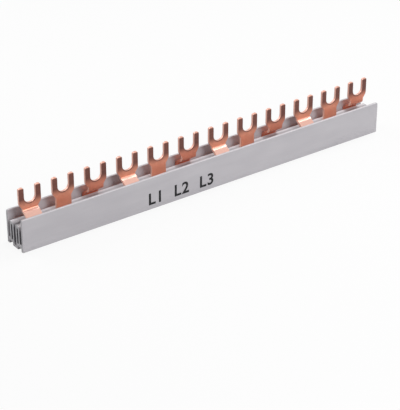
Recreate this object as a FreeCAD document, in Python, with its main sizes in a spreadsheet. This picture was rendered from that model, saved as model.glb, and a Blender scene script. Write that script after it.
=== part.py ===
import FreeCAD, Part
import os
import Sketcher

# Three-phase comb busbar with twelve forks: an extruded insulating profile that holds three stamped
# copper comb bars, one for each phase.
# X runs along the profile, with 0 at mid length. Y runs across it, with 0 in the plane of the forks
# and the front wall on the -Y side. Z is up, with 0 on the underside, so the origin is the bottom
# centre of the profile. Lengths are in millimetres, and the sheet below holds the driving sizes.

SIZES = [
    ("module_pitch", 17.8, "width of one breaker module, and spacing of the forks"),
    ("module_count", 12, "number of modules along the profile, one fork each"),
    ("outer_wall", 1.2, "thickness of the front and back walls"),
    ("end_margin", 8.65, "distance from the middle of each outer fork to the end of the profile"),
    ("profile_height", 16.95, "height of the front and back walls"),
    ("partition_leg", 1.15, "thickness of each leg of the two hollow partitions"),
    ("chamber_width", 1.15, "width of the closed chamber in each partition"),
    ("partition_cap", 1.4, "thickness of the cap that closes each chamber"),
    ("partition_cover", 1.3, "height of the partitions above the side bars"),
    ("base_thickness", 1.35, "floor under the middle slot"),
    ("web_thickness", 1.5, "floor between each underside groove and the chamber above it"),
    ("groove_depth", 1.7, "depth of the two grooves in the underside"),
    ("rib_width", 4.6, "width of the middle rib between the underside grooves"),
    ("foot_width", 1.75, "width of the foot under each outer wall"),
    ("wall_edge_round", 0.35, "rounding of the top edges of the outer walls"),
    ("partition_edge_round", 0.45, "rounding of the top edges of the partitions"),
    ("wall_corner_round", 0.9, "rounding of the walls' top corners, at the ends of the profile"),
    ("base_edge_round", 0.5, "rounding of the lower outer edges"),
    ("sink_depth", 0.08, "depth of the shallow sink along the outer faces"),
    ("sink_height", 3.5, "height of the deepest line of that sink"),
    ("sink_below", 1.0, "reach of that sink below its deepest line"),
    ("sink_above", 3.0, "reach of that sink above its deepest line"),
    ("groove_edge_round", 0.3, "rounding in the corners of the underside grooves"),
    ("chamber_edge_round", 0.25, "rounding in the corners of the chambers"),
    ("copper_thickness", 1.2, "thickness of the copper strip"),
    ("slot_clearance", 0.2, "gap on each side of a bar in its slot"),
    ("bar_height", 7.4, "height of the bar that joins the forks of one phase"),
    ("bar_end_gap", 3.0, "distance from each end of the profile to the ends of the bars"),
    ("neck_width", 8.1, "width of the necks that carry the forks"),
    ("neck_root_round", 1.0, "rounding where a neck rises from its bar"),
    ("front_bend_clearance", 1.68, "height of the front bar's lower bend above the partitions"),
    ("back_bend_clearance", 0.68, "height of the back bar's lower bend above the partitions"),
    ("slant_angle", 52, "lean of a side bar's necks between the lower and the middle bend, in degrees"),
    ("ledge_angle", 65, "lean between the middle and the upper bend, in degrees"),
    ("ledge_depth", 1.63, "distance from the middle bend to the upper bend, across the profile"),
    ("bend_radius", 0.7, "inner radius of the bends"),
    ("shoulder_gap", 0.9, "height of the shoulders' start above the front bar's upper bend"),
    ("shoulder_rise", 2.6, "height over which a neck widens to the fork"),
    ("shoulder_round", 2.75, "rounding of the outer corners of the shoulders"),
    ("shoulder_fillet", 1.0, "rounding of the inner corners of the shoulders"),
    ("fork_width", 11.6, "width over the two prongs"),
    ("mouth_width", 6.2, "width of the slot between the prongs, for a terminal screw"),
    ("mouth_depth", 8.45, "depth of that slot, from the tips to its round end"),
    ("fork_root", 2.65, "height from the shoulders' start to the round end of the slot"),
    ("tip_round", 1.15, "rounding of the corners of the prong tips, seen from the front"),
    ("tip_bevel", 0.3, "bevel on both faces of the prong tips"),
]

# Sizes worked out from the sheet, as expressions that the sketches and features are bound to.
PHASES = 3
profile_length = "(sizes.module_pitch * (sizes.module_count - 1) + 2 * sizes.end_margin)"
bar_length = f"({profile_length} - 2 * sizes.bar_end_gap)"
slot_width = "(sizes.copper_thickness + 2 * sizes.slot_clearance)"
partition_width = "(2 * sizes.partition_leg + sizes.chamber_width)"
slot_offset = f"({slot_width} + {partition_width})"
half_width = f"({slot_offset} + {slot_width} / 2 + sizes.outer_wall)"

half_strip = "(sizes.copper_thickness / 2)"
outer_bend_radius = "(sizes.bend_radius + sizes.copper_thickness)"


def bend_saving(turn):
    """How much shorter the strip's middle line is for a rounded bend than for a sharp one."""
    return f"((sizes.bend_radius + {half_strip}) * (2 * tan({turn} / 2) - {turn} * pi / 180))"


# The necks of a side bar are joggled: they lean towards the plane of the forks, then lean more, and
# turn upright again in it. So a side bar is lower than its flat blank by what its bends take up.
# The side slots are shallower than the middle one by as much, and all forks end level. Both side
# bars have the same joggle, but it stands lower on the back bar's necks.
slant_offset = f"({slot_offset} - sizes.ledge_depth)"
slant_rise = f"({slant_offset} / tan(sizes.slant_angle))"
joggle_rise = f"({slant_rise} + sizes.ledge_depth / tan(sizes.ledge_angle))"
middle_turn = "(sizes.ledge_angle - sizes.slant_angle)"
joggle_loss = (f"({slant_offset} / sin(sizes.slant_angle) + sizes.ledge_depth / sin(sizes.ledge_angle)"
               f" - {bend_saving('sizes.slant_angle')} - {bend_saving(middle_turn)}"
               f" - {bend_saving('sizes.ledge_angle')} - {joggle_rise})")

middle_floor = "sizes.base_thickness"
side_floor = f"({middle_floor} + {joggle_loss})"
partition_top = f"({side_floor} + sizes.bar_height + sizes.partition_cover)"
chamber_floor = "(sizes.groove_depth + sizes.web_thickness)"
chamber_top = f"({partition_top} - sizes.partition_cap)"

# Heights on a bar, above its lower edge. A flat bar's fork stands higher above that edge by lift.
front_bend = "(sizes.bar_height + sizes.partition_cover + sizes.front_bend_clearance)"
back_bend = "(sizes.bar_height + sizes.partition_cover + sizes.back_bend_clearance)"
fork_spacing = f"(sizes.module_pitch * {PHASES})"
prong_middle = "((sizes.fork_width + sizes.mouth_width) / 4)"
trim = "2"

doc = FreeCAD.newDocument("comb_busbar")


def make_sheet():
    """Write the driving sizes into the sheet, with their names and notes."""
    sheet = doc.addObject("Spreadsheet::Sheet", "sizes")
    for row, (name, size, note) in enumerate(SIZES, start=1):
        sheet.set(f"A{row}", name)
        sheet.set(f"B{row}", str(size))
        sheet.set(f"C{row}", note)
        sheet.setAlias(f"B{row}", name)
    doc.recompute()
    return sheet


def value(expression):
    """The number that an expression gives now."""
    result = sizes.evalExpression(expression)
    return float(getattr(result, "Value", result))


def negative(expression):
    return f"-({expression})"


def new_body(name):
    body = doc.addObject("PartDesign::Body", name)
    body.Label = name
    return body


def new_sketch(body, name, role):
    """A sketch on one of the body's own origin planes."""
    plane = next(item for item in body.Origin.OriginFeatures if item.Role == role)
    sketch = body.newObject("Sketcher::SketchObject", name)
    sketch.AttachmentSupport = [(plane, "")]
    sketch.MapMode = "FlatFace"
    return sketch


def bind(sketch, constraint, expression):
    """Add a dimension to a sketch and tie it to an expression."""
    index = sketch.addConstraint(constraint)
    sketch.setExpression(f"Constraints[{index}]", expression)


def draw_outline(sketch, corners):
    """Draw a closed outline. Each corner is (x, y) or (x, y, rounding), as expressions."""
    points = [FreeCAD.Vector(value(corner[0]), value(corner[1]), 0) for corner in corners]
    count = len(points)
    first = sketch.GeometryCount
    for index, point in enumerate(points):
        sketch.addGeometry(Part.LineSegment(point, points[(index + 1) % count]), False)
    for index in range(count):
        following = first + (index + 1) % count
        sketch.addConstraint(Sketcher.Constraint("Coincident", first + index, 2, following, 1))
    for line, (point, corner) in enumerate(zip(points, corners), start=first):
        bind(sketch, Sketcher.Constraint("DistanceX", -1, 1, line, 1, point.x), corner[0])
        bind(sketch, Sketcher.Constraint("DistanceY", -1, 1, line, 1, point.y), corner[1])
    for line, corner in enumerate(corners, start=first):
        if len(corner) == 3:
            radius = value(corner[2])
            sketch.fillet(line, 1, radius, True, True)
            arc = sketch.GeometryCount - 2
            bind(sketch, Sketcher.Constraint("Radius", arc, radius), corner[2])


def draw_circle(sketch, x, y, radius):
    """Draw a circle at (x, y). All three are expressions."""
    centre = FreeCAD.Vector(value(x), value(y), 0)
    circle = sketch.addGeometry(Part.Circle(centre, FreeCAD.Vector(0, 0, 1), value(radius)), False)
    bind(sketch, Sketcher.Constraint("DistanceX", -1, 1, circle, 3, centre.x), x)
    bind(sketch, Sketcher.Constraint("DistanceY", -1, 1, circle, 3, centre.y), y)
    bind(sketch, Sketcher.Constraint("Radius", circle, value(radius)), radius)


def pad(body, sketch, name, length):
    """Extrude a sketch by a length, half to each side of its plane."""
    feature = body.newObject("PartDesign::Pad", name)
    feature.Profile = sketch
    feature.SideType = "Symmetric"
    feature.setExpression("Length", length)
    doc.recompute()
    return feature


def cut_through(body, sketch, name):
    """Cut a sketch right through a body, across the profile."""
    pocket = body.newObject("PartDesign::Pocket", name)
    pocket.Profile = sketch
    pocket.SideType = "Symmetric"
    pocket.Type = "Length"
    pocket.setExpression("Length", f"4 * {half_width}")
    doc.recompute()
    return pocket


def cut_and_repeat(body, sketch, name, count):
    """Cut a sketch right through a body, and repeat the cut along X at the spacing of its forks."""
    before = body.Shape.Volume
    pocket = cut_through(body, sketch, name)
    pattern = body.newObject("PartDesign::LinearPattern", f"{name}_row")
    pattern.Originals = [pocket]
    pattern.Direction = (sketch, ["H_Axis"])
    pattern.Mode = "Spacing"
    pattern.setExpression("Offset", fork_spacing)
    pattern.setExpression("Occurrences", count)
    body.Tip = pattern
    doc.recompute()
    if pattern.Shape.Volume > before - 1:
        raise RuntimeError(f"{body.Label}: {name} cuts nothing")
    return pattern


def make_profile():
    """The extruded profile: two outer walls, two hollow partitions and the slots between them."""
    body = new_body("insulating_profile")
    slot_half = f"({slot_width} / 2)"
    side_slot_inner = f"({slot_offset} - {slot_half})"
    side_slot_outer = f"({slot_offset} + {slot_half})"
    groove_inner = "(sizes.rib_width / 2)"
    groove_outer = f"({half_width} - sizes.foot_width)"
    right_half = [
        (slot_half, middle_floor),
        (slot_half, partition_top, "sizes.partition_edge_round"),
        (side_slot_inner, partition_top, "sizes.partition_edge_round"),
        (side_slot_inner, side_floor),
        (side_slot_outer, side_floor),
        (side_slot_outer, "sizes.profile_height", "sizes.wall_edge_round"),
        (half_width, "sizes.profile_height", "sizes.wall_edge_round"),
        (half_width, "(sizes.sink_height + sizes.sink_above)"),
        (f"({half_width} - sizes.sink_depth)", "sizes.sink_height"),
        (half_width, "(sizes.sink_height - sizes.sink_below)"),
        (half_width, "0", "sizes.base_edge_round"),
        (groove_outer, "0"),
        (groove_outer, "sizes.groove_depth", "sizes.groove_edge_round"),
        (groove_inner, "sizes.groove_depth", "sizes.groove_edge_round"),
        (groove_inner, "0"),
    ]
    left_half = [(negative(corner[0]),) + corner[1:] for corner in reversed(right_half)]
    section = new_sketch(body, "profile_section", "YZ_Plane")
    draw_outline(section, right_half + left_half)

    chamber_inner = f"({slot_half} + sizes.partition_leg)"
    chamber_outer = f"({chamber_inner} + sizes.chamber_width)"
    for side in (str, negative):
        draw_outline(section, [
            (side(chamber_inner), chamber_floor, "sizes.chamber_edge_round"),
            (side(chamber_outer), chamber_floor, "sizes.chamber_edge_round"),
            (side(chamber_outer), chamber_top, "sizes.chamber_edge_round"),
            (side(chamber_inner), chamber_top, "sizes.chamber_edge_round"),
        ])
    pad(body, section, "profile_length", profile_length)

    corners = new_sketch(body, "wall_corners", "XZ_Plane")
    for side in (str, negative):
        draw_outline(corners, wall_corner_outline(side))
    cut_through(body, corners, "wall_corner_rounding")
    return body


def wall_corner_outline(side):
    """What rounding takes off the top of both walls at one end, with the space outside it."""
    end = f"({profile_length} / 2)"
    top = "sizes.profile_height"
    inside = f"({end} - sizes.wall_corner_round - {trim})"
    below = f"({top} - sizes.wall_corner_round - {trim})"
    return [
        (side(inside), top),
        (side(inside), f"({top} + {trim})"),
        (side(f"({end} + {trim})"), f"({top} + {trim})"),
        (side(f"({end} + {trim})"), below),
        (side(end), below),
        (side(end), top, "sizes.wall_corner_round"),
    ]


def flat_section(lift):
    """The section of the bar that stays flat, from its lower edge to the tips."""
    bevel_start = f"({half_strip} - sizes.tip_bevel)"
    tip = tip_height(lift)
    return [
        (negative(half_strip), "0"),
        (half_strip, "0"),
        (half_strip, f"({tip} - sizes.tip_bevel)"),
        (bevel_start, tip),
        (negative(bevel_start), tip),
        (negative(half_strip), f"({tip} - sizes.tip_bevel)"),
    ]


def bend_corners(across, height, lean_below, lean_above):
    """The strip's two corners at a bend of its middle line, whose leans are angles from upright.

    The first is on the side that the strip leans to."""
    mean = f"(({lean_below} + {lean_above}) / 2)"
    reach = f"({half_strip} / cos(({lean_above} - {lean_below}) / 2))"
    return [
        (f"{across} + {reach} * cos({mean})", f"{height} - {reach} * sin({mean})"),
        (f"{across} - {reach} * cos({mean})", f"{height} + {reach} * sin({mean})"),
    ]


def joggled_section(side, lower_bend):
    """The section of a side bar, which steps sideways to the plane of the forks.

    side is str for a bar whose forks lie towards +Y, and negative for one towards -Y."""
    middle_bend = f"({lower_bend} + {slant_rise})"
    upper_bend = f"({lower_bend} + {joggle_rise})"
    bevel_start = f"({half_strip} - sizes.tip_bevel)"
    tip = tip_height("0")
    lower = bend_corners("0", lower_bend, "0", "sizes.slant_angle")
    middle = bend_corners(slant_offset, middle_bend, "sizes.slant_angle", "sizes.ledge_angle")
    upper = bend_corners(slot_offset, upper_bend, "sizes.ledge_angle", "0")
    corners = [
        (f"{half_strip}", "0"),
        lower[0] + ("sizes.bend_radius",),
        middle[0] + ("sizes.bend_radius",),
        upper[0] + (outer_bend_radius,),
        (f"{slot_offset} + {half_strip}", f"{tip} - sizes.tip_bevel"),
        (f"{slot_offset} + {bevel_start}", tip),
        (f"{slot_offset} - {bevel_start}", tip),
        (f"{slot_offset} - {half_strip}", f"{tip} - sizes.tip_bevel"),
        upper[1] + ("sizes.bend_radius",),
        middle[1] + (outer_bend_radius,),
        lower[1] + (outer_bend_radius,),
        (f"-{half_strip}", "0"),
    ]
    return [(side(corner[0]),) + corner[1:] for corner in corners]


def shoulder_height(lift):
    return f"({front_bend} + {joggle_rise} + sizes.shoulder_gap + {lift})"


def tip_height(lift):
    return f"({shoulder_height(lift)} + sizes.fork_root + sizes.mouth_depth)"


def gap_outline(first_fork, lift):
    """What is stamped away between two forks of one bar: the first such gap, left of the first fork.

    It follows the bar, both necks and shoulders and the outer sides of both forks up to the tips."""
    tip = tip_height(lift)
    trimmed = f"({tip} + {trim})"
    shoulder = shoulder_height(lift)
    head = f"({shoulder} + sizes.shoulder_rise)"
    left_side = [
        ("sizes.neck_width / 2", "sizes.bar_height", "sizes.neck_root_round"),
        ("sizes.neck_width / 2", shoulder, "sizes.shoulder_fillet"),
        ("sizes.fork_width / 2", head, "sizes.shoulder_round"),
        ("sizes.fork_width / 2", tip, "sizes.tip_round"),
        (prong_middle, tip),
        (prong_middle, trimmed),
    ]
    previous_fork = f"({first_fork} - {fork_spacing})"
    up = [(f"{previous_fork} + {corner[0]}",) + corner[1:] for corner in left_side]
    down = [(f"{first_fork} - {corner[0]}",) + corner[1:] for corner in reversed(left_side)]
    return up + down


def mouth_outline(first_fork, lift):
    """The open part of a fork's slot, from the centre of its round end up past the tips."""
    tip = tip_height(lift)
    right_side = [
        ("sizes.mouth_width / 2", seat_height(lift)),
        ("sizes.mouth_width / 2", tip, "sizes.tip_round"),
        (prong_middle, tip),
        (prong_middle, f"({tip} + {trim})"),
    ]
    up = [(f"{first_fork} + {corner[0]}",) + corner[1:] for corner in right_side]
    down = [(f"{first_fork} - {corner[0]}",) + corner[1:] for corner in reversed(right_side)]
    return up + down


def seat_height(lift):
    return f"({shoulder_height(lift)} + sizes.fork_root + sizes.mouth_width / 2)"


def make_busbar(name, phase, section_corners, lift, across, floor):
    """A comb bar: a strip with its bends, then the gaps between the forks, then the forks' slots."""
    body = new_body(name)
    section = new_sketch(body, f"{name}_section", "YZ_Plane")
    draw_outline(section, section_corners)
    pad(body, section, f"{name}_strip", bar_length)

    first_fork = f"(({phase} - (sizes.module_count - 1) / 2) * sizes.module_pitch)"
    forks = f"(floor((sizes.module_count - 1 - {phase}) / {PHASES}) + 1)"

    gap = new_sketch(body, f"{name}_gap_outline", "XZ_Plane")
    draw_outline(gap, gap_outline(first_fork, lift))
    cut_and_repeat(body, gap, f"{name}_gap", f"{forks} + 1")

    seat = new_sketch(body, f"{name}_seat_outline", "XZ_Plane")
    draw_circle(seat, first_fork, seat_height(lift), "sizes.mouth_width / 2")
    cut_and_repeat(body, seat, f"{name}_seat", forks)

    mouth = new_sketch(body, f"{name}_mouth_outline", "XZ_Plane")
    draw_outline(mouth, mouth_outline(first_fork, lift))
    cut_and_repeat(body, mouth, f"{name}_mouth", forks)

    body.setExpression("Placement.Base.y", across)
    body.setExpression("Placement.Base.z", floor)
    return body


def check(pieces):
    """Stop if any object failed, or any piece isn't one valid solid."""
    for item in doc.Objects:
        if {"Invalid", "Error"} & set(item.State):
            raise RuntimeError(f"{item.Label}: {item.State}")
    for piece in pieces:
        if piece.Shape.isNull() or not piece.Shape.isValid() or len(piece.Shape.Solids) != 1:
            raise RuntimeError(f"{piece.Label} is not one valid solid")


sizes = make_sheet()
pieces = [
    make_profile(),
    make_busbar("front_busbar", 0, joggled_section(str, front_bend), "0", negative(slot_offset),
                side_floor),
    make_busbar("middle_busbar", 1, flat_section(joggle_loss), joggle_loss, "0", middle_floor),
    make_busbar("back_busbar", 2, joggled_section(negative, back_bend), "0", slot_offset, side_floor),
]
doc.recompute()
check(pieces)

os.makedirs("parts", exist_ok=True)
for piece in pieces:
    piece.Shape.exportStep(f"parts/{piece.Label}.step")
    box = piece.Shape.BoundBox
    print(f"{piece.Label}: {piece.Shape.Volume:.1f} mm3, x {box.XMin:.2f} {box.XMax:.2f},"
          f" y {box.YMin:.2f} {box.YMax:.2f}, z {box.ZMin:.2f} {box.ZMax:.2f}")
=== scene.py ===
import math

import bmesh
import bpy
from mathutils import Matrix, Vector
from mathutils.geometry import tessellate_polygon


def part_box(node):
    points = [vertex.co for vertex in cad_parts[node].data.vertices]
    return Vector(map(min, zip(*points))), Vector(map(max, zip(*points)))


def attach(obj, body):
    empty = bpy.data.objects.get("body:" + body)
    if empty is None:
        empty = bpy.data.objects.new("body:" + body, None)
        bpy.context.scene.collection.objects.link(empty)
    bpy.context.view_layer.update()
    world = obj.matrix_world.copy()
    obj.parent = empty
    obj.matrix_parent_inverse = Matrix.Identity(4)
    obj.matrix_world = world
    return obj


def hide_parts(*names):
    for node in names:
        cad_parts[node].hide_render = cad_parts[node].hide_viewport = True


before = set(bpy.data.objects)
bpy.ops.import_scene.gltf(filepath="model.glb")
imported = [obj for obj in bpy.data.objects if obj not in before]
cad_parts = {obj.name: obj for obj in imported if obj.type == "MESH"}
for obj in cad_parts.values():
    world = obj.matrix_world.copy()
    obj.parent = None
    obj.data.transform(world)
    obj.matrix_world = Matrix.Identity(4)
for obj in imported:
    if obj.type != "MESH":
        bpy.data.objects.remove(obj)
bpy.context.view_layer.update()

# A three-phase comb busbar: a grey extruded profile that holds three stamped copper combs.
# X runs along the profile, Y across it and Z up. The object's own sizes are in millimetres, and
# turned to metres where Blender takes them.

MM = 0.001
ARC_STEP = math.radians(9)
BEND_STEP = math.radians(7)
SHARP_ANGLE = math.radians(35)
SAME_POINT = 0.0005
ON_PLANE = 0.0001

# The profile and its section.
HALF_LENGTH, HALF_WIDTH, WALL_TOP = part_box("insulating_profile")[1] / MM
PARTITION_LEG = 1.15
CHAMBER_WIDTH = 1.15
PARTITION_CAP = 1.4
PARTITION_COVER = 1.3
BASE_THICKNESS = 1.35
WEB_THICKNESS = 1.5
GROOVE_DEPTH = 1.7
RIB_WIDTH = 4.6
FOOT_WIDTH = 1.75
WALL_EDGE_ROUND = 0.35
PARTITION_EDGE_ROUND = 0.45
BASE_EDGE_ROUND = 0.5
GROOVE_EDGE_ROUND = 0.3
CHAMBER_EDGE_ROUND = 0.25
WALL_CORNER_ROUND = 0.9
SINK_DEPTH = 0.08
SINK_BOTTOM = 2.5
SINK_MIDDLE = 3.5
SINK_TOP = 6.5
SINK_ROUND = 6.0
SAWN_EDGE = 0.09
CORNER_STEPS = 6
CLEAR_OF_SAWN_EDGE = 1.5 * SAWN_EDGE

# The combs.
MODULE_PITCH = 17.8
MODULES = 12
PHASES = 3
BAR_HALF_LENGTH = (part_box("middle_busbar")[1] / MM).x
COPPER_THICKNESS = 1.2
SLOT_CLEARANCE = 0.2
BAR_HEIGHT = 7.4
NECK_WIDTH = 8.1
NECK_ROOT_ROUND = 1.0
FRONT_BEND_CLEARANCE = 1.68
BACK_BEND_CLEARANCE = 0.68
SLANT_ANGLE = math.radians(52)
LEDGE_ANGLE = math.radians(65)
LEDGE_DEPTH = 1.63
BEND_RADIUS = 0.7
SHOULDER_GAP = 0.9
SHOULDER_RISE = 2.6
SHOULDER_ROUND = 2.75
SHOULDER_FILLET = 1.0
FORK_WIDTH = 11.6
MOUTH_WIDTH = 6.2
MOUTH_DEPTH = 8.45
FORK_ROOT = 2.65
TIP_ROUND = 1.15
TIP_BEVEL = 0.3
SHEARED_EDGE = 0.13
FACE_NORMAL = 0.9

# The print on the front wall.
PRINT_HEIGHT = 8.6
PRINT_BOLDNESS = 0.2
PRINT_THICKNESS = 0.012
PRINT_SPACING = 1.1
PRINT_CURVE_STEPS = 6

# Lengths and heights that follow from those sizes.
half_strip = COPPER_THICKNESS / 2
slot_width = COPPER_THICKNESS + 2 * SLOT_CLEARANCE
slot_offset = slot_width + 2 * PARTITION_LEG + CHAMBER_WIDTH
neutral_radius = BEND_RADIUS + half_strip
slant_offset = slot_offset - LEDGE_DEPTH
joggle_rise = slant_offset / math.tan(SLANT_ANGLE) + LEDGE_DEPTH / math.tan(LEDGE_ANGLE)
front_bend = BAR_HEIGHT + PARTITION_COVER + FRONT_BEND_CLEARANCE
back_bend = BAR_HEIGHT + PARTITION_COVER + BACK_BEND_CLEARANCE


def joggle_runs(lower_bend):
    """The strip's middle line up to its last bend, as (length, lean at its start, lean at its end)."""
    leans = (0, SLANT_ANGLE, LEDGE_ANGLE, 0)
    lengths = (lower_bend, slant_offset / math.sin(SLANT_ANGLE), LEDGE_DEPTH / math.sin(LEDGE_ANGLE))
    runs = []
    reach_before = 0
    for length, lean, next_lean in zip(lengths, leans, leans[1:]):
        turn = abs(next_lean - lean)
        reach = neutral_radius * math.tan(turn / 2)
        runs.append((length - reach_before - reach, lean, lean))
        runs.append((neutral_radius * turn, lean, next_lean))
        reach_before = reach
    return runs


def joggled(runs, height, offset):
    """Where a point of the flat comb lies after its bends: (distance across, height)."""
    across, up, lean, left = 0.0, 0.0, 0.0, height
    for length, lean_before, lean_after in runs:
        part = min(left, length)
        if lean_after == lean_before:
            across += part * math.sin(lean)
            up += part * math.cos(lean)
        else:
            radius = length / (lean_after - lean_before)
            lean = lean_before + part / radius
            across += radius * (math.cos(lean_before) - math.cos(lean))
            up += radius * (math.sin(lean) - math.sin(lean_before))
        left -= part
        if left <= 0:
            break
    return across + offset * math.cos(lean), up + left - offset * math.sin(lean)


front_runs = joggle_runs(front_bend)
back_runs = joggle_runs(back_bend)
bent_length = sum(run[0] for run in front_runs)
joggle_loss = bent_length - joggled(front_runs, bent_length, 0)[1]
side_floor = BASE_THICKNESS + joggle_loss
partition_top = side_floor + BAR_HEIGHT + PARTITION_COVER
shoulder = front_bend + joggle_rise + SHOULDER_GAP + joggle_loss
mouth_bottom = shoulder + FORK_ROOT
tip = mouth_bottom + MOUTH_DEPTH


def make_object(name, bm, materials, replaced):
    """Turn a bmesh in millimetres into a piece of the object that stands for a CAD node."""
    bmesh.ops.remove_doubles(bm, verts=bm.verts, dist=SAME_POINT)
    bmesh.ops.recalc_face_normals(bm, faces=bm.faces)
    bmesh.ops.scale(bm, vec=(MM, MM, MM), verts=bm.verts)
    mesh = bpy.data.meshes.new(name)
    bm.to_mesh(mesh)
    bm.free()
    for material in materials:
        mesh.materials.append(material)
    mesh.polygons.foreach_set("use_smooth", [True] * len(mesh.polygons))
    mesh.set_sharp_from_angle(angle=SHARP_ANGLE)
    piece = bpy.data.objects.new(name, mesh)
    bpy.context.scene.collection.objects.link(piece)
    weighted = piece.modifiers.new("weighted_normals", "WEIGHTED_NORMAL")
    weighted.keep_sharp = True
    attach(piece, "root")
    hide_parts(replaced)


def rounded(corners):
    """The points of a closed outline whose corners are (x, y) or (x, y, radius)."""
    points = []
    for index, corner in enumerate(corners):
        here = Vector(corner[:2])
        if len(corner) == 2:
            points.append(here)
            continue
        back = (Vector(corners[index - 1][:2]) - here).normalized()
        ahead = (Vector(corners[(index + 1) % len(corners)][:2]) - here).normalized()
        half_angle = back.angle(ahead) / 2
        radius = corner[2]
        centre = here + (back + ahead).normalized() * radius / math.sin(half_angle)
        reach = radius / math.tan(half_angle)
        start = here + back * reach - centre
        end = here + ahead * reach - centre
        first = math.atan2(start.y, start.x)
        sweep = (math.atan2(end.y, end.x) - first + math.pi) % (2 * math.pi) - math.pi
        steps = max(3, round(abs(sweep) / ARC_STEP))
        for step in range(steps + 1):
            angle = first + sweep * step / steps
            points.append(centre + radius * Vector((math.cos(angle), math.sin(angle))))
    kept = [point for index, point in enumerate(points)
            if (point - points[index - 1]).length > SAME_POINT]
    area = sum(a.x * b.y - a.y * b.x for a, b in zip(kept, kept[1:] + kept[:1]))
    return kept if area > 0 else kept[::-1]


def shrunk(points, distance):
    """An anticlockwise outline moved inward by a small distance, or outward if it is negative."""
    moved = []
    for index, point in enumerate(points):
        before = (point - points[index - 1]).normalized()
        after = (points[(index + 1) % len(points)] - point).normalized()
        normal_before = Vector((-before.y, before.x))
        normal_after = Vector((-after.y, after.x))
        step = (normal_before + normal_after) / (1 + normal_before.dot(normal_after))
        moved.append(point + step * distance)
    return moved


def profile_outlines():
    """The outer outline of the profile's section and those of its two closed chambers."""
    slot_half = slot_width / 2
    inner = slot_offset - slot_half
    outer = slot_offset + slot_half
    right_half = [
        (slot_half, BASE_THICKNESS),
        (slot_half, partition_top, PARTITION_EDGE_ROUND),
        (inner, partition_top, PARTITION_EDGE_ROUND),
        (inner, side_floor),
        (outer, side_floor),
        (outer, WALL_TOP, WALL_EDGE_ROUND),
        (HALF_WIDTH, WALL_TOP, WALL_EDGE_ROUND),
        (HALF_WIDTH, SINK_TOP, 2 * SINK_ROUND),
        (HALF_WIDTH - SINK_DEPTH, SINK_MIDDLE, SINK_ROUND),
        (HALF_WIDTH, SINK_BOTTOM, SINK_ROUND),
        (HALF_WIDTH, 0, BASE_EDGE_ROUND),
        (HALF_WIDTH - FOOT_WIDTH, 0),
        (HALF_WIDTH - FOOT_WIDTH, GROOVE_DEPTH, GROOVE_EDGE_ROUND),
        (RIB_WIDTH / 2, GROOVE_DEPTH, GROOVE_EDGE_ROUND),
        (RIB_WIDTH / 2, 0),
    ]
    left_half = [(-corner[0],) + corner[1:] for corner in reversed(right_half)]
    chamber_inner = slot_half + PARTITION_LEG
    chamber_outer = chamber_inner + CHAMBER_WIDTH
    chamber_floor = GROOVE_DEPTH + WEB_THICKNESS
    chamber_top = partition_top - PARTITION_CAP
    chambers = [rounded([
        (side * chamber_inner, chamber_floor, CHAMBER_EDGE_ROUND),
        (side * chamber_outer, chamber_floor, CHAMBER_EDGE_ROUND),
        (side * chamber_outer, chamber_top, CHAMBER_EDGE_ROUND),
        (side * chamber_inner, chamber_top, CHAMBER_EDGE_ROUND),
    ]) for side in (1, -1)]
    return [rounded(right_half + left_half)] + chambers


def corner_drop(distance):
    """How far the top of a wall is cut down at a distance from its end, by its rounded corner."""
    if distance >= WALL_CORNER_ROUND:
        return 0
    return WALL_CORNER_ROUND - math.sqrt(WALL_CORNER_ROUND**2 - (WALL_CORNER_ROUND - distance)**2)


def make_profile():
    """The extruded profile, with its sawn ends and the rounded top corners of its walls."""
    bm = bmesh.new()
    outlines = profile_outlines()
    distances = [WALL_CORNER_ROUND * (1 - math.cos(math.pi / 2 * step / CORNER_STEPS))
                 for step in range(1, CORNER_STEPS + 1)]
    insets = [(0, SAWN_EDGE), (SAWN_EDGE, 0)]
    insets += [(distance, 0) for distance in distances if distance > CLEAR_OF_SAWN_EDGE]
    stations = ([(-HALF_LENGTH + distance, distance, inset) for distance, inset in insets]
                + [(HALF_LENGTH - distance, distance, inset) for distance, inset in reversed(insets)])
    wall_shoulder = WALL_TOP - WALL_EDGE_ROUND - SAME_POINT
    end_rings = []
    for number, outline in enumerate(outlines):
        rings = []
        for x, distance, inset in stations:
            points = shrunk(outline, inset if number == 0 else -inset)
            ring = []
            for point, original in zip(points, outline):
                drop = corner_drop(distance) if original.y > wall_shoulder else 0
                ring.append(bm.verts.new((x, point.x, point.y - drop)))
            rings.append(ring)
        for ring, following in zip(rings, rings[1:]):
            for index in range(len(ring)):
                bm.faces.new((ring[index - 1], ring[index], following[index], following[index - 1]))
        end_rings.append((rings[0], rings[-1]))
    for end in (0, 1):
        loops = [rings[end] for rings in end_rings]
        flat = [vertex for loop in loops for vertex in loop]
        for triangle in tessellate_polygon([[vertex.co for vertex in loop] for loop in loops]):
            face = bm.faces.new([flat[index] for index in triangle])
            face.material_index = 1
    make_object("grey_profile", bm, [plastic, sawn_plastic], "insulating_profile")


def comb_outline(centres):
    """The outline of a comb as it is stamped, flat: x along the strip, y up from its lower edge."""
    half = [
        (NECK_WIDTH / 2, BAR_HEIGHT, NECK_ROOT_ROUND),
        (NECK_WIDTH / 2, shoulder, SHOULDER_FILLET),
        (FORK_WIDTH / 2, shoulder + SHOULDER_RISE, SHOULDER_ROUND),
        (FORK_WIDTH / 2, tip, TIP_ROUND),
        (MOUTH_WIDTH / 2, tip, TIP_ROUND),
        (MOUTH_WIDTH / 2, mouth_bottom, MOUTH_WIDTH / 2),
    ]
    corners = [(-BAR_HALF_LENGTH, 0), (BAR_HALF_LENGTH, 0), (BAR_HALF_LENGTH, BAR_HEIGHT)]
    for centre in sorted(centres, reverse=True):
        corners += [(centre + x, y, radius) for x, y, radius in half]
        corners += [(centre - x, y, radius) for x, y, radius in reversed(half)]
    corners.append((-BAR_HALF_LENGTH, BAR_HEIGHT))
    return rounded(corners)


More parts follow.
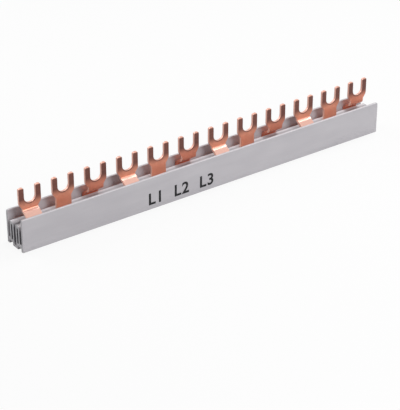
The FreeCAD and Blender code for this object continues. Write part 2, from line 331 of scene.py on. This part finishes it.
def bend_lines(runs):
    """Heights on the flat comb at which its bends are divided."""
    lines = []
    start = 0
    for length, lean_before, lean_after in runs:
        if lean_after != lean_before:
            steps = round(abs(lean_after - lean_before) / BEND_STEP)
            lines += [start + length * step / steps for step in range(steps + 1)]
        start += length
    return lines


def make_comb(name, phase, side, runs, rolled, replaced):
    """A copper comb. side is 0 for the flat one, and else the sign of Y to which its forks are bent."""
    centres = [(module - (MODULES - 1) / 2) * MODULE_PITCH for module in range(phase, MODULES, PHASES)]
    outline = comb_outline(centres)
    bm = bmesh.new()
    low = [bm.verts.new((point.x, point.y, -half_strip)) for point in outline]
    high = [bm.verts.new((point.x, point.y, half_strip)) for point in outline]
    bm.faces.new(low[::-1])
    bm.faces.new(high)
    for index in range(len(outline)):
        bm.faces.new((low[index - 1], low[index], high[index], high[index - 1]))
    rims = [edge for edge in bm.edges if edge.verts[0].co.z == edge.verts[1].co.z]
    bmesh.ops.bevel(bm, geom=rims, offset=SHEARED_EDGE, offset_type="OFFSET", segments=2,
                    profile=0.5, affect="EDGES", clamp_overlap=True)
    for line in [tip - TIP_BEVEL] + bend_lines(runs):
        bmesh.ops.bisect_plane(bm, geom=bm.verts[:] + bm.edges[:] + bm.faces[:], dist=ON_PLANE,
                               plane_co=(0, line, 0), plane_no=(0, 1, 0))
    bm.normal_update()
    for face in bm.faces:
        face.material_index = 0 if abs(face.normal.z) > FACE_NORMAL else 1
    for vertex in bm.verts:
        x, height, offset = vertex.co
        into_bevel = max(0, height - (tip - TIP_BEVEL))
        offset *= 1 - into_bevel / half_strip
        if side:
            across, up = joggled(runs, height, offset)
            vertex.co = (x, side * (across - slot_offset), up + side_floor)
        else:
            vertex.co = (x, offset, height + BASE_THICKNESS)
    make_object(name, bm, [rolled, sheared_copper], replaced)


def srgb(red, green, blue):
    """A colour given as screen values from 0 to 255, as Blender's linear values."""
    return tuple(c / 12.92 if c <= 0.04045 else ((c + 0.055) / 1.055)**2.4
                 for c in (red / 255, green / 255, blue / 255)) + (1,)


def new_material(name):
    """A material with an empty node tree, and the tree."""
    material = bpy.data.materials.new(name)
    material.use_nodes = True
    material.node_tree.nodes.clear()
    return material, material.node_tree


def add(tree, kind, inputs=None, **settings):
    """Add a node. An input is linked if it is given a socket, and set if it is given a value."""
    made = tree.nodes.new(kind)
    for name, setting in settings.items():
        setattr(made, name, setting)
    for name, source in (inputs or {}).items():
        if isinstance(source, bpy.types.NodeSocket):
            tree.links.new(source, made.inputs[name])
        else:
            made.inputs[name].default_value = source
    return made


def noise(tree, place, stretch, detail=3.0, roughness=0.5):
    """Noise over the object's own coordinates, with stretch as its scale along X, Y and Z, per metre."""
    mapping = add(tree, "ShaderNodeMapping", {"Vector": place, "Scale": stretch})
    texture = add(tree, "ShaderNodeTexNoise", {
        "Vector": mapping.outputs["Vector"], "Scale": 1.0, "Detail": detail, "Roughness": roughness})
    return texture.outputs["Fac"]


def spread(tree, source, low, high, to_low=0.0, to_high=1.0, smooth=False):
    """Map a range of values to another, and hold the ends."""
    made = add(tree, "ShaderNodeMapRange", {
        "Value": source, "From Min": low, "From Max": high, "To Min": to_low, "To Max": to_high},
        interpolation_type="SMOOTHSTEP" if smooth else "LINEAR")
    return made.outputs["Result"]


def fade(tree, distance, ends, before, after, smooth=False):
    """A share that is before up to the first of two ends in millimetres, and after from the second."""
    return spread(tree, distance, ends[0] * MM, ends[1] * MM, before, after, smooth)


def blend(tree, factor, first, second):
    """Mix two colours."""
    made = add(tree, "ShaderNodeMix", data_type="RGBA")
    for socket, source in ((made.inputs[0], factor), (made.inputs[6], first), (made.inputs[7], second)):
        if isinstance(source, bpy.types.NodeSocket):
            tree.links.new(source, socket)
        else:
            socket.default_value = source
    return made.outputs[2]


def calculate(tree, operation, *values):
    """The result of a math node."""
    return add(tree, "ShaderNodeMath", dict(enumerate(values)), operation=operation).outputs[0]


def product(tree, first, *others):
    """Several values multiplied."""
    for other in others:
        first = calculate(tree, "MULTIPLY", first, other)
    return first


def finish_material(tree, inputs, height, relief):
    """The shader, with bump from a height source. relief is the bump's depth in metres."""
    bump = add(tree, "ShaderNodeBump", {"Height": height, "Strength": 0.6, "Distance": relief})
    shader = add(tree, "ShaderNodeBsdfPrincipled", dict(inputs, Normal=bump.outputs["Normal"]))
    output = add(tree, "ShaderNodeOutputMaterial")
    tree.links.new(shader.outputs["BSDF"], output.inputs["Surface"])


# Scales of the noises along X, Y and Z, per metre, and the depths of the bump, in metres.
CLOUDS = (45, 160, 160)
DIE_LINES = (6, 1500, 1500)
SAW_MARKS = (500, 350, 5200)
PLASTIC_GRAIN = (2600, 2600, 2600)
ROLLING_MARKS = (90, 90, 3000)
DULL_FILM = (260, 260, 190)
COPPER_GRAIN = (5200, 5200, 5200)
INK_SPECKLE = (2500, 2500, 2500)
PLASTIC_RELIEF = 0.000025
SAWN_RELIEF = 0.00006
COPPER_RELIEF = 0.00001
INK_RELIEF = 0.00001

# The part of a noise's values that is spread over a whole range, and ranges of roughness.
NOISE_MIDDLE = (0.3, 0.7)
PLASTIC_ROUGHNESS = (0.40, 0.52)
SAWN_ROUGHNESS = (0.56, 0.70)
ROLLED_ROUGHNESS = (0.36, 0.46)
SHEARED_ROUGHNESS = (0.40, 0.50)
INK_ROUGHNESS = (0.5, 0.65)

# Where the plastic's colour changes, as ranges in millimetres: painted shade darkens the slots and
# chambers and the partition tops beside the middle slot, and painted highlights make the upper rims pale.
WALL_FACE = slot_offset + slot_width / 2
BETWEEN_WALLS = (WALL_FACE - 0.15, WALL_FACE - 0.05)
HOLLOW_BOTTOM = (2.0, 2.2)
HOLLOW_TOP = (partition_top - 2.5, partition_top - 0.5)
BESIDE_SLOT = (1.4, 2.1)
RIM_ACROSS = (2.1, 2.7)
RIM_BOTTOM = (partition_top - 0.4, partition_top - 0.2)
RIM_TOP = (partition_top + 0.05, partition_top + 0.25)
WALL_RIM = (WALL_TOP - 0.35, WALL_TOP - 0.15)
WALL_RIM_HIGHLIGHT = 0.6
HOLLOW_SHADE_PLASTIC = srgb(112, 110, 115)
SHADED_PLASTIC_BESIDE_SLOT = srgb(172, 169, 173)
HIGHLIT_RIM_PLASTIC = srgb(214, 211, 215)

# Where the copper's colour changes, in the same way: painted shade makes the prongs and the rims of
# the mouths brown and the back slants redder, and painted highlights make the front slants, the caps
# of the prongs and the sheared edges of the necks paler. The front slants are smoother too.
ROLLED_DULLNESS = 0.55
SHEARED_DULLNESS = 0.3
STREAK_SHARE = 0.1
PRONGS = (18.8, 24.6)
PRONG_WANDER = 1.2
CAPS = (28.8, 29.4)
CAP_PRONG_SHADE = 0.35
CAP_HIGHLIGHT = 0.7
MOUTH_CENTRE = mouth_bottom + BASE_THICKNESS + MOUTH_WIDTH / 2
MOUTH_RIM = (3.5, 3.9)
MOUTH_RIM_SHADE = 0.9
SHEARED_PRONG_SHADE = 0.35
FRONT_SLANT = (-1.0, -0.64)
BACK_SLANT = (0.7, 1.6)
NECK_BOTTOM = (partition_top, partition_top + 0.5)
NECK_TOP = (18.5, 20.0)
SLANT_STREAKS = 0.3
SLANT_RELIEF = 0.12
SLANT_ROUGHNESS = 0.22
KEPT_ROUGHNESS = 0.15
HIGHLIGHT_COPPER = srgb(217, 171, 156)
BACK_SLANT_SHADE_COPPER = srgb(222, 132, 104)
NECK_EDGE_HIGHLIGHT_COPPER = srgb(255, 204, 184)


def painted_shade_and_rim_highlights(tree, place, colour):
    """The plastic's colour with painted shade in its slots and chambers and beside the middle slot, and
    painted highlights on its upper rims.
    """
    axes = add(tree, "ShaderNodeSeparateXYZ", {"Vector": place}).outputs
    up = axes["Z"]
    apart = calculate(tree, "ABSOLUTE", axes["Y"])
    between_walls = fade(tree, apart, BETWEEN_WALLS, 1.0, 0.0)
    near_top = fade(tree, up, RIM_BOTTOM, 0.0, 1.0)
    # Painted shade: the partition tops beside the middle slot are darkened as the front wall's shadow.
    beside_slot_shade = product(tree, fade(tree, apart, BESIDE_SLOT, 1.0, 0.0), near_top)
    colour = blend(tree, beside_slot_shade, colour, SHADED_PLASTIC_BESIDE_SLOT)
    # Painted highlight: the back rims of the partitions and the top edges of the walls are made pale.
    partition_rim = product(tree, fade(tree, apart, RIM_ACROSS, 0.0, 1.0), near_top, between_walls,
                            fade(tree, up, RIM_TOP, 1.0, 0.0))
    rim_highlight = calculate(tree, "MAXIMUM", partition_rim, fade(tree, up, WALL_RIM, 0.0, WALL_RIM_HIGHLIGHT))
    colour = blend(tree, rim_highlight, colour, HIGHLIT_RIM_PLASTIC)
    # Painted shade: the inside of the slots and chambers is darkened.
    hollow_shade = product(tree, between_walls, fade(tree, up, HOLLOW_BOTTOM, 0.0, 1.0),
                     fade(tree, up, HOLLOW_TOP, 1.0, 0.0))
    return blend(tree, hollow_shade, colour, HOLLOW_SHADE_PLASTIC)


def plastic_material(name, pale, dark, sawn):
    """Grey rigid PVC: die lines along the profile, faint clouding, and saw marks on a cut end."""
    material, tree = new_material(name)
    place = add(tree, "ShaderNodeTexCoord").outputs["Object"]
    clouds = spread(tree, noise(tree, place, CLOUDS, detail=4), *NOISE_MIDDLE)
    grain = noise(tree, place, PLASTIC_GRAIN, detail=2)
    if sawn:
        marks = noise(tree, place, SAW_MARKS, detail=4, roughness=0.65)
    else:
        marks = noise(tree, place, DIE_LINES, detail=3, roughness=0.6)
    mixed = calculate(tree, "MULTIPLY_ADD", marks, 0.45, product(tree, clouds, 0.55))
    colour = blend(tree, mixed, dark, pale)
    if not sawn:
        # Painted shade in the slots, chambers and beside the middle slot, and painted highlights on the
        # rims.
        colour = painted_shade_and_rim_highlights(tree, place, colour)
    rough = spread(tree, marks, *NOISE_MIDDLE, *(SAWN_ROUGHNESS if sawn else PLASTIC_ROUGHNESS))
    height = calculate(tree, "MULTIPLY_ADD", marks, 0.7, product(tree, grain, 0.3))
    finish_material(tree, {"Base Color": colour, "Roughness": rough, "Specular IOR Level": 0.45,
                           "IOR": 1.52}, height, SAWN_RELIEF if sawn else PLASTIC_RELIEF)
    return material


def mouth_rim_shade(tree, axes):
    """The share of painted shade, in brown, round the mouths of the forks."""
    along = calculate(tree, "SUBTRACT", calculate(tree, "WRAP", axes["X"], MODULE_PITCH * MM, 0.0),
                      MODULE_PITCH * MM / 2)
    below = calculate(tree, "MINIMUM", calculate(tree, "SUBTRACT", axes["Z"], MOUTH_CENTRE * MM), 0.0)
    squares = calculate(tree, "MULTIPLY_ADD", along, along, product(tree, below, below))
    from_mouth = calculate(tree, "SQRT", squares)
    return fade(tree, from_mouth, MOUTH_RIM, MOUTH_RIM_SHADE, 0.0, smooth=True)


def copper_material(name, bright, dull, brown, sheared):
    """Bare copper strip: faint rolling marks, a dull film, painted shade on the prongs and painted
    highlights in places.
    """
    material, tree = new_material(name)
    place = add(tree, "ShaderNodeTexCoord").outputs["Object"]
    axes = add(tree, "ShaderNodeSeparateXYZ", {"Vector": place}).outputs
    rolling = noise(tree, place, ROLLING_MARKS, detail=3)
    film = noise(tree, place, DULL_FILM, detail=4, roughness=0.55)
    grain = noise(tree, place, COPPER_GRAIN, detail=2)
    dulled = spread(tree, film, 0.35, 0.7, 0.0, SHEARED_DULLNESS if sheared else ROLLED_DULLNESS)
    colour = blend(tree, dulled, bright, dull)
    streaks = spread(tree, rolling, 0.25, 0.75, STREAK_SHARE, 0.0)
    # Painted shade: the prongs turn dark brown from a wandering height up, less on sheared edges and
    # caps, standing in for the dark surroundings they reflect.
    wandering = calculate(tree, "MULTIPLY_ADD", film, PRONG_WANDER * MM, axes["Z"])
    prong_shade = product(tree, fade(tree, wandering, PRONGS, 0.0, SHEARED_PRONG_SHADE if sheared else 1.0, True),
                      fade(tree, axes["Z"], CAPS, 1.0, CAP_PRONG_SHADE, True))
    rough = spread(tree, rolling, *NOISE_MIDDLE, *(SHEARED_ROUGHNESS if sheared else ROLLED_ROUGHNESS))
    height = calculate(tree, "MULTIPLY_ADD", rolling, 0.6, product(tree, grain, 0.4))
    # Painted shade: the back slants are redder and darker.
    colour = blend(tree, fade(tree, axes["Y"], BACK_SLANT, 0.0, 1.0), colour, BACK_SLANT_SHADE_COPPER)
    if sheared:
        # Painted highlight: the sheared edges of the necks are paler.
        neck_edge_highlight = product(tree, fade(tree, axes["Z"], NECK_BOTTOM, 0.0, 1.0),
                        fade(tree, axes["Z"], NECK_TOP, 1.0, 0.0),
                        fade(tree, axes["Y"], BACK_SLANT, 1.0, 0.0))
        colour = blend(tree, neck_edge_highlight, colour, NECK_EDGE_HIGHLIGHT_COPPER)
    else:
        # Painted highlight: the front slants are paler, and also smoother and less streaked.
        slant_highlight = fade(tree, axes["Y"], FRONT_SLANT, 1.0, 0.0)
        colour = blend(tree, slant_highlight, colour, HIGHLIGHT_COPPER)
        streaks = product(tree, streaks, spread(tree, slant_highlight, 0.0, 1.0, 1.0, SLANT_STREAKS))
        # Painted shade, in brown, round the rims of the mouths.
        prong_shade = calculate(tree, "MAXIMUM", prong_shade, mouth_rim_shade(tree, axes))
        rough = calculate(tree, "MULTIPLY_ADD", rough,
                          spread(tree, slant_highlight, 0.0, 1.0, 1.0, KEPT_ROUGHNESS),
                          product(tree, slant_highlight, SLANT_ROUGHNESS))
        height = product(tree, height, spread(tree, slant_highlight, 0.0, 1.0, 1.0, SLANT_RELIEF))
    colour = blend(tree, prong_shade, colour, brown)
    # Painted highlight: the caps of the prongs are paler.
    colour = blend(tree, fade(tree, axes["Z"], CAPS, 0.0, CAP_HIGHLIGHT), colour, HIGHLIGHT_COPPER)
    colour = blend(tree, streaks, colour, dull)
    finish_material(tree, {"Base Color": colour, "Roughness": rough, "Metallic": 0.6,
                           "Coat Weight": 0.4, "Coat Roughness": 0.35}, height, COPPER_RELIEF)
    return material


def ink_material():
    """Dark printing ink, a little thin in places."""
    material, tree = new_material("printing_ink")
    place = add(tree, "ShaderNodeTexCoord").outputs["Object"]
    speckle = noise(tree, place, INK_SPECKLE, detail=3)
    colour = blend(tree, spread(tree, speckle, 0.35, 0.75), srgb(12, 12, 14), srgb(34, 33, 37))
    rough = spread(tree, speckle, *NOISE_MIDDLE, *INK_ROUGHNESS)
    finish_material(tree, {"Base Color": colour, "Roughness": rough, "Specular IOR Level": 0.3},
                    speckle, INK_RELIEF)
    return material


plastic = plastic_material("rigid_pvc", pale=srgb(190, 187, 191), dark=srgb(176, 173, 178), sawn=False)
sawn_plastic = plastic_material("sawn_pvc", pale=srgb(192, 190, 193), dark=srgb(160, 158, 162), sawn=True)
# The brown colours are painted shade for the prongs and mouth rims.
copper = copper_material("rolled_copper", bright=srgb(250, 170, 140), dull=srgb(238, 152, 122),
                         brown=srgb(92, 47, 38), sheared=False)
# A darker copy of the copper for the back comb: painted shade.
shaded_back_copper = copper_material("shaded_back_copper", bright=srgb(238, 152, 124), dull=srgb(216, 132, 106),
                                brown=srgb(88, 45, 37), sheared=False)
sheared_copper = copper_material("sheared_copper", bright=srgb(232, 184, 168), dull=srgb(220, 160, 142),
                                 brown=srgb(160, 98, 82), sheared=True)
ink = ink_material()

make_profile()
make_comb("front_comb", 0, 1, front_runs, copper, "front_busbar")
make_comb("middle_comb", 1, 0, [], copper, "middle_busbar")
make_comb("back_comb", 2, -1, back_runs, shaded_back_copper, "back_busbar")


def print_label(name, words, centre_x, centre_z):
    """Printed characters on the front wall."""
    text = bpy.data.curves.new(name, "FONT")
    text.body = words
    text.align_x = "CENTER"
    text.align_y = "CENTER"
    text.size = PRINT_HEIGHT * MM
    text.space_character = PRINT_SPACING
    text.extrude = PRINT_THICKNESS * MM
    text.offset = PRINT_BOLDNESS * MM
    text.resolution_u = PRINT_CURVE_STEPS
    text.materials.append(ink)
    label = bpy.data.objects.new(name, text)
    bpy.context.scene.collection.objects.link(label)
    label.location = (centre_x * MM, -HALF_WIDTH * MM, centre_z * MM)
    label.rotation_euler = (math.radians(90), 0, 0)
    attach(label, "root")


print_label("phase_print", "L1  L2  L3", -18.1, 5.35)

# The surroundings, in metres.
WHITE = (1, 1, 1, 1)
FLOOR_PAINT = (0.8, 0.8, 0.8, 1)
FLOOR_HALF_SIZE = 3.0
FLOOR_DROP = 0.0001
FLOOR_SEEN_WHITE = 0.88
SOFT_LIGHT = 0.34
LAMP_AIM = Vector((0, 0, 0.012))
CAMERA_PLACE = Vector((-421.25, -576.91, 380.35)) * MM
CAMERA_AIM = Vector((-4.38, -3.28, -9.37)) * MM
SENSOR_WIDTH_MM = 36.0
FOCAL_LENGTH_MM = 144.4


def seen_directly(tree):
    """1 for the rays by which the camera, the metal and the gloss see the surround, and else 0."""
    path = add(tree, "ShaderNodeLightPath")
    seen = calculate(tree, "MAXIMUM", path.outputs["Is Camera Ray"], path.outputs["Is Glossy Ray"])
    return calculate(tree, "MAXIMUM", seen, path.outputs["Is Transmission Ray"])


def make_floor():
    """A white floor that keeps the object's shadow, and shows white in the metal too."""
    mesh = bpy.data.meshes.new("floor")
    mesh.from_pydata([(x * FLOOR_HALF_SIZE, y * FLOOR_HALF_SIZE, 0)
                      for x, y in ((-1, -1), (1, -1), (1, 1), (-1, 1))], [], [(0, 1, 2, 3)])
    floor = bpy.data.objects.new("floor", mesh)
    floor.location.z = -FLOOR_DROP
    bpy.context.scene.collection.objects.link(floor)
    material, tree = new_material("white_floor")
    paint = add(tree, "ShaderNodeBsdfDiffuse", {"Color": FLOOR_PAINT})
    glow = add(tree, "ShaderNodeEmission", {"Color": WHITE, "Strength": 1.0})
    share = product(tree, seen_directly(tree), FLOOR_SEEN_WHITE)
    mix = add(tree, "ShaderNodeMixShader", {0: share, 1: paint.outputs[0], 2: glow.outputs[0]})
    output = add(tree, "ShaderNodeOutputMaterial")
    tree.links.new(mix.outputs[0], output.inputs["Surface"])
    mesh.materials.append(material)


def make_world():
    """A soft white surround, which the camera sees as white."""
    world = bpy.data.worlds.new("surround")
    bpy.context.scene.world = world
    world.use_nodes = True
    tree = world.node_tree
    tree.nodes.clear()
    soft = add(tree, "ShaderNodeBackground", {"Color": WHITE, "Strength": SOFT_LIGHT})
    white = add(tree, "ShaderNodeBackground", {"Color": WHITE, "Strength": 1.0})
    mix = add(tree, "ShaderNodeMixShader", {
        0: seen_directly(tree), 1: soft.outputs[0], 2: white.outputs[0]})
    output = add(tree, "ShaderNodeOutputWorld")
    tree.links.new(mix.outputs[0], output.inputs["Surface"])


def make_lamp(name, place, width, power):
    """A square soft lamp aimed at the middle of the object."""
    data = bpy.data.lights.new(name, "AREA")
    data.size = width
    data.energy = power
    lamp = bpy.data.objects.new(name, data)
    bpy.context.scene.collection.objects.link(lamp)
    lamp.location = place
    lamp.rotation_euler = (LAMP_AIM - Vector(place)).to_track_quat("-Z", "Y").to_euler()


def make_camera():
    """The photograph's viewpoint."""
    data = bpy.data.cameras.new("camera")
    data.sensor_width = SENSOR_WIDTH_MM
    data.lens = FOCAL_LENGTH_MM
    data.clip_start = 0.01
    data.clip_end = 20.0
    camera = bpy.data.objects.new("camera", data)
    bpy.context.scene.collection.objects.link(camera)
    camera.location = CAMERA_PLACE
    camera.rotation_euler = (CAMERA_AIM - CAMERA_PLACE).to_track_quat("-Z", "Y").to_euler()
    bpy.context.scene.camera = camera


make_floor()
make_world()
make_lamp("front_lamp", (0.08, -0.62, 0.42), width=0.3, power=2.75)
make_lamp("back_lamp", (-0.26, 0.42, 0.36), width=0.36, power=1.2)
make_lamp("right_lamp", (0.28, 0.07, 0.45), width=0.22, power=1.1)
make_camera()
bpy.context.scene.view_settings.view_transform = "Standard"
